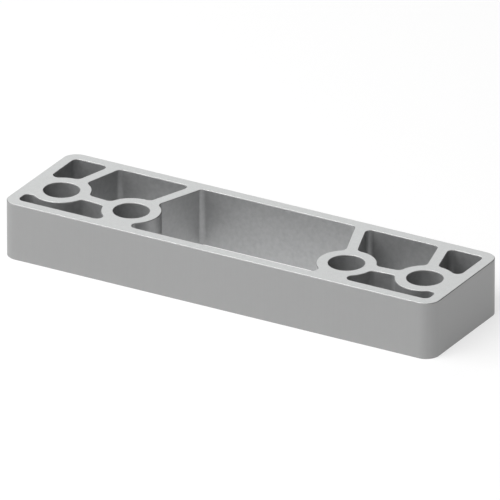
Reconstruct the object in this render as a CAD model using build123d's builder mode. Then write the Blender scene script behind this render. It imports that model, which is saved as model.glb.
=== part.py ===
from build123d import *

import math
import os

# Mounting block: a slice of aluminium extrusion with a plain cut face at the top and the bottom.
# Millimetres. X runs along the block, Y from the front face to the back face, and Z up, along the
# bores. The origin is the centre of the bottom face. The two halves mirror each other about X = 0.

# The block
length = 122.0
width = 34.0
height = 15.0
wall = 3.0  # outer walls, the same all round
corner_radius = 3.75  # upright outer corners
pocket_fillet = 1.5  # upright corners inside the pockets
edge_break = 0.15  # chamfer that takes the burr off both cut faces

# The bores, which take M8 bolts, and the round bosses that carry them
bore_diameter = 9.0
boss_diameter = 15.0
outer_bore_from_end = 9.5
outer_bore_from_front = 13.25
inner_bore_from_front = 11.35
bore_spacing = 21.0  # from an outer bore to the inner bore beside it, along the block

# Ribs run from the bosses to the back wall, and webs join each inner boss to its outer boss
rib_thickness = 3.0
web_thickness = 3.0
outer_rib_lean = 15.0  # degrees that a rib leans from Y towards the middle of the block
inner_rib_lean = 20.0

# Worked out from the sizes above
boss_radius = boss_diameter / 2
outer_bore = Vector(length / 2 - outer_bore_from_end, outer_bore_from_front - width / 2)
inner_bore = Vector(outer_bore.X - bore_spacing, inner_bore_from_front - width / 2)
outer_bore_to_end_wall = outer_bore_from_end - wall
inner_bore_to_front_wall = inner_bore_from_front - wall
web_direction = outer_bore - inner_bore
web_angle = math.degrees(math.atan2(web_direction.Y, web_direction.X))


def foot(reach):
    """Metal between a boss and a wall whose face lies this far from the bore, towards +X.

    Its two flanks are arcs tangent to the boss and to the wall. They have the radius of the pocket
    fillets, or a larger one where the foot would be narrower than a web.
    """
    across = 2 * (boss_radius + reach) - web_thickness
    gap = (web_thickness / 2) ** 2 + reach**2 - boss_radius**2
    flank_radius = max(pocket_fillet, (across - math.sqrt(across**2 - 4 * gap)) / 2)
    flank_x = reach - flank_radius
    flank_y = math.sqrt((boss_radius + flank_radius) ** 2 - flank_x**2)
    inside_wall = reach + wall / 2

    with BuildSketch() as metal:
        with BuildLine():
            Polyline(
                (0, 0),
                (flank_x, flank_y),
                (inside_wall, flank_y),
                (inside_wall, -flank_y),
                (flank_x, -flank_y),
                close=True,
            )
        make_face()
        with Locations((flank_x, flank_y), (flank_x, -flank_y)):
            Circle(flank_radius, mode=Mode.SUBTRACT)
    return metal.sketch


def sharp_corners(sketch):
    """Corners where two edges meet at an angle, and not those where an arc runs on smoothly."""
    ends = [(edge @ end, edge % end) for edge in sketch.edges() for end in (0, 1)]
    corners = []
    for corner in sketch.vertices():
        here = [direction for place, direction in ends if (place - Vector(corner)).length < 1e-4]
        if here[0].cross(here[1]).length > math.sin(math.radians(1)):
            corners.append(corner)
    return corners


# The metal inside the walls of the right half: bosses, ribs, the web and the two feet
with BuildSketch() as right_metal:
    with Locations(outer_bore, inner_bore):
        Circle(boss_radius)
    with Locations(Location(outer_bore, 90 + outer_rib_lean), Location(inner_bore, 90 + inner_rib_lean)):
        Rectangle(width, rib_thickness, align=(Align.MIN, Align.CENTER))
    with Locations(Location(inner_bore, web_angle)):
        Rectangle(web_direction.length, web_thickness, align=(Align.MIN, Align.CENTER))
    with Locations(outer_bore):
        add(foot(outer_bore_to_end_wall))
    with Locations(Location(inner_bore, -90)):
        add(foot(inner_bore_to_front_wall))

# The pockets are what is left open inside the walls
with BuildSketch() as pockets:
    Rectangle(length - 2 * wall, width - 2 * wall)
    add(right_metal.sketch, mode=Mode.SUBTRACT)
    mirror(right_metal.sketch, about=Plane.YZ, mode=Mode.SUBTRACT)
    fillet(sharp_corners(pockets), pocket_fillet)

with BuildPart() as mounting_block:
    with BuildSketch():
        RectangleRounded(length, width, corner_radius)
        add(pockets.sketch, mode=Mode.SUBTRACT)
        with Locations(outer_bore, inner_bore):
            Circle(bore_diameter / 2, mode=Mode.SUBTRACT)
        with Locations((-outer_bore.X, outer_bore.Y), (-inner_bore.X, inner_bore.Y)):
            Circle(bore_diameter / 2, mode=Mode.SUBTRACT)
    extrude(amount=height)
    cut_faces = mounting_block.faces().filter_by(Axis.Z)
    chamfer(cut_faces.edges(), edge_break)

mounting_block.part.label = "mounting_block"
os.makedirs("parts", exist_ok=True)
export_step(mounting_block.part, "parts/mounting_block.step")
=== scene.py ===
import math

import bpy
from bpy.props import FloatProperty, FloatVectorProperty, PointerProperty
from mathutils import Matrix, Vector


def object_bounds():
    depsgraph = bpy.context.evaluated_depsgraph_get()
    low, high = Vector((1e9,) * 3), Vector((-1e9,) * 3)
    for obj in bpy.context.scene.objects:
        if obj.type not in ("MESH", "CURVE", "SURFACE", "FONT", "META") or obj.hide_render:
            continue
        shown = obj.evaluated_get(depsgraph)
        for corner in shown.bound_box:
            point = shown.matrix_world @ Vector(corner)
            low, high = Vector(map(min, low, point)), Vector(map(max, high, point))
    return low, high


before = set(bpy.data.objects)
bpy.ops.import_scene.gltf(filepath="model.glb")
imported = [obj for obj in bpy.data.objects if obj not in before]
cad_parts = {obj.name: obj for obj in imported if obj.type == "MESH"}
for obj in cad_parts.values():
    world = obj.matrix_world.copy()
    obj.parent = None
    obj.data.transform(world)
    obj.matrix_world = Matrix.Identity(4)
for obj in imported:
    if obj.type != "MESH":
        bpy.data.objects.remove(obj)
BLOCK = "mounting_block"
BOX_LOW, BOX_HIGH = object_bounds()

bl_info = {
    "name": "Mounting block",
    "version": (1, 0, 0),
    "blender": (4, 5, 0),
    "location": "3D View > Sidebar > Mounting block",
    "description": "Finishes the aluminium mounting block and sets up its studio",
    "category": "Object",
}

# The block's own sizes, in metres
CORNER_RADIUS = 0.00375  # upright outer corners
EDGE_BREAK = 0.00015  # chamfer round both cut faces
SKIN_START, SKIN_END = 0.00001, 0.00004  # a cut face gives way to its chamfer between these depths
OUTER_SKIN = 0.0003  # what lies this near the outline is outer wall

# How strongly each texture shows in each zone, as a share of the colour
TEXTURE_SHARES = {
    "Cut face": {"Grain": 0.08, "Mottle": 0.05, "Lines": 0.0},
    "Outer wall": {"Grain": 0.0, "Mottle": 0.014, "Lines": 0.012},
    "Pocket wall": {"Grain": 0.03, "Mottle": 0.09, "Lines": 0.01},
}
ROUGHNESS_SHARE = 0.03  # how far the soft patches change the roughness
LINE_STRETCH = 0.012  # die lines change this much more slowly up a wall than along it
NOISE_LOW, NOISE_HIGH = 0.25, 0.75  # where most values of a noise texture lie
BUMP_STRENGTH, BUMP_HEIGHT = 0.12, 0.00002  # relief of the grain and the die lines

# Where the lamps stand: degrees round from the front, and above the horizon
LAMP_PLACES = {"front_lamp": (-15, 48), "left_lamp": (-60, 30), "back_lamp": (-150, 27)}
FLOOR_GAP = 0.00001  # the floor lies this far above the bottom, so that light reaches it from below
HORIZON_LOW, HORIZON_HIGH = 0.03, 0.08  # the white below the horizon ends between these slopes
NEAR_CLIP, FAR_CLIP = 0.01, 10  # as shares of the distance from the camera to the block


# ---------------------------------------------------------------- settings


class MetalFinish(bpy.types.PropertyGroup):
    """Colours and surface of the bare aluminium, whose zone colours are lit and shaded tones of one metal:
    painted light and shade
    """

    # partly the machined finish, partly painted light: the cut faces are much lighter than the walls, to
    # stand for the light falling on the top face
    cut_colour_with_painted_light: FloatVectorProperty(
        name="Cut face colour", description="Colour of the two machined cut faces", subtype="COLOR",
        size=4, min=0, max=1, default=(0.606, 0.616, 0.613, 1))
    # painted shade: the outer walls are darker than the pocket walls, to stand for the shade on the sides
    # away from the lamps
    wall_colour_with_painted_shade: FloatVectorProperty(
        name="Wall colour", description="Colour of the outer walls", subtype="COLOR",
        size=4, min=0, max=1, default=(0.353, 0.354, 0.354, 1))
    # painted light: the bores and pocket walls are lighter than the outer walls, lifting them out of the
    # shade in the pockets
    pocket_colour_with_painted_light: FloatVectorProperty(
        name="Pocket colour", description="Colour of the bores and the pocket walls", subtype="COLOR",
        size=4, min=0, max=1, default=(0.396, 0.4, 0.403, 1))
    # painted shade: the chamfers are darker than the walls, to hold back the highlight that the lamps throw
    # on them
    edge_colour_with_painted_shade: FloatVectorProperty(
        name="Edge colour", description="Colour of the chamfers round the cut faces", subtype="COLOR",
        size=4, min=0, max=1, default=(0.27, 0.27, 0.27, 1))
    metallic: FloatProperty(
        name="Metallic", description="How much of the surface shines as bare metal, the rest being matt "
        "oxide", subtype="FACTOR", min=0, max=1, default=0.75)
    cut_roughness: FloatProperty(
        name="Cut face roughness", description="Roughness of the cut faces", subtype="FACTOR",
        min=0, max=1, default=0.43)
    wall_roughness: FloatProperty(
        name="Wall roughness", description="Roughness of the extruded walls", subtype="FACTOR",
        min=0, max=1, default=0.42)
    edge_roughness: FloatProperty(
        name="Edge roughness", description="Roughness of the chamfers round the cut faces",
        subtype="FACTOR", min=0, max=1, default=0.62)
    grain_size: FloatProperty(
        name="Grain size", description="Size of the fine grain left by the cutter", subtype="DISTANCE",
        unit="LENGTH", min=0.00002, default=0.00022)
    mottle_size: FloatProperty(
        name="Mottle size", description="Size of the soft patches on pocket walls and cut faces",
        subtype="DISTANCE", unit="LENGTH", min=0.0002, default=0.0011)
    die_line_pitch: FloatProperty(
        name="Die line pitch", description="Spacing of the faint lines that the die leaves along the walls",
        subtype="DISTANCE", unit="LENGTH", min=0.00005, default=0.00035)


class Studio(bpy.types.PropertyGroup):
    """Camera, lamps and floor"""

    azimuth: FloatProperty(
        name="Azimuth", description="Direction that the block is seen from, round from the front",
        subtype="ANGLE", unit="ROTATION", default=math.radians(30))
    elevation: FloatProperty(
        name="Elevation", description="Height of the view above the horizon",
        subtype="ANGLE", unit="ROTATION", default=math.radians(24.85))
    lens: FloatProperty(
        name="Lens", description="Focal length in millimetres, long for a view with little perspective",
        min=50, default=1700)
    view_width: FloatProperty(
        name="View width", description="Width of what the camera sees at the block",
        subtype="DISTANCE", unit="LENGTH", default=0.1228)
    aim_drop: FloatProperty(
        name="Aim drop", description="How far below the middle of the top face the view is centred",
        subtype="DISTANCE", unit="LENGTH", default=0.00534)
    aim_left: FloatProperty(
        name="Aim left", description="How far left of the middle of the top face the view is centred",
        subtype="DISTANCE", unit="LENGTH", default=0.00004)
    floor_colour: FloatVectorProperty(
        name="Floor colour", description="Colour of the floor", subtype="COLOR",
        size=4, min=0, max=1, default=(0.99, 0.99, 0.99, 1))
    bounce_colour: FloatVectorProperty(
        name="Bounce colour", description="Colour of the floor for the light that it throws back",
        subtype="COLOR", size=4, min=0, max=1, default=(0.4, 0.4, 0.4, 1))
    own_white: FloatProperty(
        name="Own white", description="Share of the floor's white that no shadow darkens",
        subtype="FACTOR", min=0, max=1, default=0.7)
    floor_size: FloatProperty(
        name="Floor size", description="Length of the floor's sides", subtype="DISTANCE",
        unit="LENGTH", default=30.0)
    ambient: FloatProperty(
        name="Ambient light", description="Strength of the light from all round", min=0, default=0.1)
    lamp_distance: FloatProperty(
        name="Lamp distance", description="From the block to each lamp", subtype="DISTANCE",
        unit="LENGTH", default=1.2)
    lamp_size: FloatProperty(
        name="Lamp size", description="Length of the sides of each soft lamp", subtype="DISTANCE",
        unit="LENGTH", default=0.8)
    front_power: FloatProperty(
        name="Front lamp", description="Power of the lamp high in front", unit="POWER", min=0,
        default=13.6)
    left_power: FloatProperty(
        name="Left lamp", description="Power of the lamp on the left", unit="POWER", min=0,
        default=9.7)
    back_power: FloatProperty(
        name="Back lamp", description="Power of the lamp behind on the left", unit="POWER", min=0,
        default=2.4)


# ---------------------------------------------------------------- shader helpers


def fill_input(tree, socket, value):
    """Links a socket to an input, or sets the input to a value."""
    if isinstance(value, bpy.types.NodeSocket):
        tree.links.new(value, socket)
    else:
        socket.default_value = value


def add_node(tree, kind, inputs=None, **options):
    """Adds a shader node with these options, and fills its inputs."""
    node = tree.nodes.new(kind)
    for name, value in options.items():
        setattr(node, name, value)
    for key, value in (inputs or {}).items():
        fill_input(tree, node.inputs[key], value)
    return node


def math_node(tree, operation, first, second):
    """Output of a Math node."""
    return add_node(tree, "ShaderNodeMath", {0: first, 1: second}, operation=operation).outputs[0]


def vector_node(tree, operation, first, second=(0, 0, 0)):
    """Vector output of a Vector Math node."""
    node = add_node(tree, "ShaderNodeVectorMath", {0: first, 1: second}, operation=operation)
    return node.outputs["Vector"]


def mix_colour(tree, factor, first, second):
    """Output of a Mix node set to colours, whose colour sockets are numbers 6 and 7."""
    node = add_node(tree, "ShaderNodeMix", data_type="RGBA")
    for socket, value in ((0, factor), (6, first), (7, second)):
        fill_input(tree, node.inputs[socket], value)
    return node.outputs[2]


def map_range(tree, value, low, high, to_low=0.0, to_high=1.0):
    """Output of a Map Range node, clamped."""
    node = add_node(tree, "ShaderNodeMapRange", {
        "Value": value, "From Min": low, "From Max": high, "To Min": to_low, "To Max": to_high})
    return node.outputs[0]


def spread_noise(tree, place, size, detail, roughness):
    """Noise about zero, from -1 to 1, with features of this size."""
    scale = math_node(tree, "DIVIDE", 1.0, size)
    noise = add_node(tree, "ShaderNodeTexNoise", {
        "Vector": place, "Scale": scale, "Detail": detail, "Roughness": roughness})
    return map_range(tree, noise.outputs["Fac"], NOISE_LOW, NOISE_HIGH, -1.0, 1.0)


def new_group(name, inputs, outputs):
    """An empty shader node group with these sockets, and its two end nodes."""
    group = bpy.data.node_groups.new(name, "ShaderNodeTree")
    for socket, kind in inputs:
        group.interface.new_socket(socket, in_out="INPUT", socket_type="NodeSocket" + kind)
    for socket in outputs:
        group.interface.new_socket(socket, in_out="OUTPUT", socket_type="NodeSocketFloat")
    return group, group.nodes.new("NodeGroupInput"), group.nodes.new("NodeGroupOutput")


def place_group(tree, group, inputs):
    """Outputs of a group node in a material, with its inputs filled."""
    node = tree.nodes.new("ShaderNodeGroup")
    node.node_tree = group
    for key, value in inputs.items():
        fill_input(tree, node.inputs[key], value)
    return node.outputs


# ---------------------------------------------------------------- shared effects


def make_surface_zones():
    """Masks for the cut faces, their chamfers, the outer walls and the walls of pockets and bores."""
    group, given, result = new_group(
        "Block zones",
        [("Position", "Vector"), ("Height", "Float"), ("Half size", "Vector"), ("Corner radius", "Float")],
        ["Cut face", "Chamfer", "Outer wall", "Pocket wall"])
    position = given.outputs["Position"]
    z = add_node(group, "ShaderNodeSeparateXYZ", {0: position}).outputs["Z"]
    from_top = math_node(group, "SUBTRACT", given.outputs["Height"], z)
    depth = math_node(group, "MINIMUM", z, from_top)
    cut = map_range(group, depth, SKIN_START, SKIN_END, 1.0, 0.0)
    below_cut = math_node(group, "SUBTRACT", 1.0, cut)
    chamfer = math_node(group, "MULTIPLY", below_cut, math_node(group, "LESS_THAN", depth, EDGE_BREAK))
    wall = math_node(group, "SUBTRACT", below_cut, chamfer)

    flat = vector_node(group, "MULTIPLY", vector_node(group, "ABSOLUTE", position), (1, 1, 0))
    past = vector_node(group, "SUBTRACT", flat, given.outputs["Half size"])
    past = vector_node(group, "MAXIMUM", past)
    reach = add_node(group, "ShaderNodeVectorMath", {0: past}, operation="LENGTH").outputs["Value"]
    rim = math_node(group, "SUBTRACT", given.outputs["Corner radius"], OUTER_SKIN)
    outer_wall = math_node(group, "MULTIPLY", wall, math_node(group, "GREATER_THAN", reach, rim))
    pocket_wall = math_node(group, "SUBTRACT", wall, outer_wall)
    for name, socket in (("Cut face", cut), ("Chamfer", chamfer), ("Outer wall", outer_wall),
                         ("Pocket wall", pocket_wall)):
        group.links.new(socket, result.inputs[name])
    return group


def make_textures():
    """Fine grain, soft patches, and die lines that run the same all the way up a wall."""
    group, given, result = new_group(
        "Metal textures",
        [("Position", "Vector"), ("Grain size", "Float"), ("Mottle size", "Float"), ("Pitch", "Float")],
        ["Grain", "Mottle", "Lines"])
    position = given.outputs["Position"]
    along_walls = vector_node(group, "MULTIPLY", position, (1, 1, LINE_STRETCH))
    # the last two numbers are the detail and the roughness of each noise
    for name, place, size, detail, roughness in (
            ("Grain", position, "Grain size", 2.0, 0.6),
            ("Mottle", position, "Mottle size", 3.0, 0.55),
            ("Lines", along_walls, "Pitch", 3.0, 0.7)):
        noise = spread_noise(group, place, given.outputs[size], detail, roughness)
        group.links.new(noise, result.inputs[name])
    return group


# ---------------------------------------------------------------- material


def bare_aluminium(finish):
    """Satin aluminium: grained cut faces, plain outer walls and mottled pocket walls with die lines. The
    zone colours hold painted light on the cut faces and pocket walls, and painted shade on the outer walls
    and chamfers.
    """
    material = bpy.data.materials.new("bare_aluminium")
    material.use_nodes = True
    tree = material.node_tree
    shader = tree.nodes["Principled BSDF"]
    shader.inputs["Metallic"].default_value = finish.metallic
    position = add_node(tree, "ShaderNodeTexCoord").outputs["Object"]

    half = (BOX_HIGH - BOX_LOW) / 2
    zones = place_group(tree, make_surface_zones(), {
        "Position": position, "Height": BOX_HIGH.z, "Corner radius": CORNER_RADIUS,
        "Half size": (half.x - CORNER_RADIUS, half.y - CORNER_RADIUS, 0)})
    textures = place_group(tree, make_textures(), {
        "Position": position, "Grain size": finish.grain_size, "Mottle size": finish.mottle_size,
        "Pitch": finish.die_line_pitch})

    # how far the colour goes up and down, by zone
    gain = 1.0
    for zone, shares in TEXTURE_SHARES.items():
        tone = 0.0
        for texture, share in shares.items():
            if share:
                tone = math_node(tree, "ADD", tone, math_node(tree, "MULTIPLY", textures[texture], share))
        gain = math_node(tree, "ADD", gain, math_node(tree, "MULTIPLY", tone, zones[zone]))

    # painted shade on the outer walls and painted light on the pocket walls, as two tones of the one metal
    colour = mix_colour(tree, zones["Outer wall"], finish.pocket_colour_with_painted_light, finish.wall_colour_with_painted_shade)
    # the chamfers take a darker colour, painted shade that dulls their highlight
    colour = mix_colour(tree, zones["Chamfer"], colour, finish.edge_colour_with_painted_shade)
    # the cut faces take the lighter colour, partly painted light from above
    colour = mix_colour(tree, zones["Cut face"], colour, finish.cut_colour_with_painted_light)
    colour = vector_node(tree, "MULTIPLY", colour, add_node(
        tree, "ShaderNodeCombineXYZ", {0: gain, 1: gain, 2: gain}).outputs[0])
    tree.links.new(colour, shader.inputs["Base Color"])

    roughness = map_range(tree, zones["Cut face"], 0.0, 1.0, finish.wall_roughness, finish.cut_roughness)
    roughness = math_node(tree, "ADD", roughness, math_node(
        tree, "MULTIPLY", textures["Mottle"], ROUGHNESS_SHARE))
    roughness = map_range(tree, zones["Chamfer"], 0.0, 1.0, roughness, finish.edge_roughness)
    tree.links.new(roughness, shader.inputs["Roughness"])

    off_cut = math_node(tree, "SUBTRACT", 1.0, zones["Cut face"])
    height = math_node(tree, "ADD", math_node(tree, "MULTIPLY", textures["Lines"], off_cut),
                       math_node(tree, "MULTIPLY", textures["Grain"], zones["Cut face"]))
    bump = add_node(tree, "ShaderNodeBump", {
        "Strength": BUMP_STRENGTH, "Distance": BUMP_HEIGHT, "Height": height})
    tree.links.new(bump.outputs[0], shader.inputs["Normal"])
    return material


# ---------------------------------------------------------------- stage


def from_block(azimuth, elevation):
    """Direction from the block to a place round from the front, and above the horizon."""
    level = math.cos(elevation)
    return Vector((math.sin(azimuth) * level, -math.cos(azimuth) * level, math.sin(elevation)))


def lamp(name, direction, distance, size, power, target):
    """A soft square lamp that points at the block from a direction."""
    data = bpy.data.lights.new(name, "AREA")
    data.shape = "SQUARE"
    data.size = size
    data.energy = power
    obj = bpy.data.objects.new(name, data)
    bpy.context.scene.collection.objects.link(obj)
    obj.location = target + direction * distance
    obj.rotation_euler = direction.to_track_quat("Z", "Y").to_euler()


def seen_directly(tree):
    """1 for rays from the camera, from glossy surfaces and through clear ones, and 0 for diffuse light."""
    path = add_node(tree, "ShaderNodeLightPath").outputs
    seen = math_node(tree, "MAXIMUM", path["Is Camera Ray"], path["Is Glossy Ray"])
    return math_node(tree, "MAXIMUM", seen, path["Is Transmission Ray"])


def pale_surround(ambient):
    """World that is white up to the horizon and gives a little light from all round above it."""
    world = bpy.data.worlds.new("pale_surround")
    bpy.context.scene.world = world
    world.use_nodes = True
    tree = world.node_tree
    background = tree.nodes["Background"]
    background.inputs["Color"].default_value = (1, 1, 1, 1)
    direction = add_node(tree, "ShaderNodeTexCoord").outputs["Generated"]
    rise = add_node(tree, "ShaderNodeSeparateXYZ", {0: direction}).outputs["Z"]
    strength = map_range(tree, rise, HORIZON_LOW, HORIZON_HIGH, 1.0, ambient)
    tree.links.new(strength, background.inputs["Strength"])


def floor_material(colour, bounce_colour, own_white):
    """Pale floor that keeps a light shadow, throws little light back, and can't be seen from below."""
    material = bpy.data.materials.new("pale_floor")
    material.use_nodes = True
    tree = material.node_tree
    tree.nodes.remove(tree.nodes["Principled BSDF"])
    shaded = add_node(tree, "ShaderNodeBsdfDiffuse", {"Color": colour}).outputs[0]
    white = add_node(tree, "ShaderNodeEmission", {"Strength": 1.0}).outputs[0]
    shown = add_node(tree, "ShaderNodeMixShader", {0: own_white, 1: shaded, 2: white}).outputs[0]
    bounce = add_node(tree, "ShaderNodeBsdfDiffuse", {"Color": bounce_colour}).outputs[0]
    above = add_node(tree, "ShaderNodeMixShader", {0: seen_directly(tree), 1: bounce, 2: shown}).outputs[0]
    clear = add_node(tree, "ShaderNodeBsdfTransparent").outputs[0]
    below = add_node(tree, "ShaderNodeNewGeometry").outputs["Backfacing"]
    mixed = add_node(tree, "ShaderNodeMixShader", {0: below, 1: above, 2: clear})
    tree.links.new(mixed.outputs[0], tree.nodes["Material Output"].inputs["Surface"])
    return material


# ---------------------------------------------------------------- operators


class MOUNTING_BLOCK_OT_finish_block(bpy.types.Operator):
    """Gives the block its bare aluminium finish"""

    bl_idname = "mounting_block.finish_block"
    bl_label = "Finish the block"

    def execute(self, context):
        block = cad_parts[BLOCK]
        block.data.materials.clear()
        block.data.materials.append(bare_aluminium(context.scene.block_finish))
        return {"FINISHED"}


class MOUNTING_BLOCK_OT_set_stage(bpy.types.Operator):
    """Sets up the floor, the surround, the lamps and the camera"""

    bl_idname = "mounting_block.set_stage"
    bl_label = "Set the stage"

    def execute(self, context):
        scene, studio = context.scene, context.scene.block_studio
        middle = Vector((0, 0, BOX_HIGH.z))

        bpy.ops.object.select_all(action="DESELECT")
        bpy.ops.mesh.primitive_plane_add(size=studio.floor_size, location=(0, 0, BOX_LOW.z + FLOOR_GAP))
        floor = context.active_object
        floor.name = "floor"
        floor.data.materials.append(floor_material(
            studio.floor_colour, studio.bounce_colour, studio.own_white))

        pale_surround(studio.ambient)
        powers = {"front_lamp": studio.front_power, "left_lamp": studio.left_power,
                  "back_lamp": studio.back_power}
        for name, (azimuth, elevation) in LAMP_PLACES.items():
            direction = from_block(math.radians(azimuth), math.radians(elevation))
            lamp(name, direction, studio.lamp_distance, studio.lamp_size, powers[name], middle)

        back = from_block(studio.azimuth, studio.elevation)
        right = Vector((math.cos(studio.azimuth), math.sin(studio.azimuth), 0))
        up = back.cross(right)
        data = bpy.data.cameras.new("camera")
        data.lens = studio.lens
        distance = studio.view_width * data.lens / data.sensor_width
        data.clip_start, data.clip_end = distance * NEAR_CLIP, distance * FAR_CLIP
        camera = bpy.data.objects.new("camera", data)
        scene.collection.objects.link(camera)
        camera.rotation_mode = "QUATERNION"
        camera.rotation_quaternion = back.to_track_quat("Z", "Y")
        camera.location = middle - right * studio.aim_left - up * studio.aim_drop + back * distance
        scene.camera = camera
        scene.view_settings.view_transform = "Standard"
        return {"FINISHED"}


class MOUNTING_BLOCK_PT_panel(bpy.types.Panel):
    """Steps of the model, in order"""

    bl_idname = "MOUNTING_BLOCK_PT_panel"
    bl_label = "Mounting block"
    bl_space_type = "VIEW_3D"
    bl_region_type = "UI"
    bl_category = "Mounting block"

    def draw(self, context):
        layout = self.layout
        for step in STEPS:
            layout.operator(step.bl_idname)
        for settings in (context.scene.block_finish, context.scene.block_studio):
            box = layout.box()
            for name in type(settings).__annotations__:
                box.prop(settings, name)


STEPS = (MOUNTING_BLOCK_OT_finish_block, MOUNTING_BLOCK_OT_set_stage)
CLASSES = (MetalFinish, Studio, *STEPS, MOUNTING_BLOCK_PT_panel)


def register():
    for cls in CLASSES:
        bpy.utils.register_class(cls)
    bpy.types.Scene.block_finish = PointerProperty(type=MetalFinish)
    bpy.types.Scene.block_studio = PointerProperty(type=Studio)


def unregister():
    del bpy.types.Scene.block_studio
    del bpy.types.Scene.block_finish
    for cls in reversed(CLASSES):
        bpy.utils.unregister_class(cls)


def main():
    register()
    bpy.ops.mounting_block.finish_block()
    bpy.ops.mounting_block.set_stage()


if __name__ == "__main__":
    main()
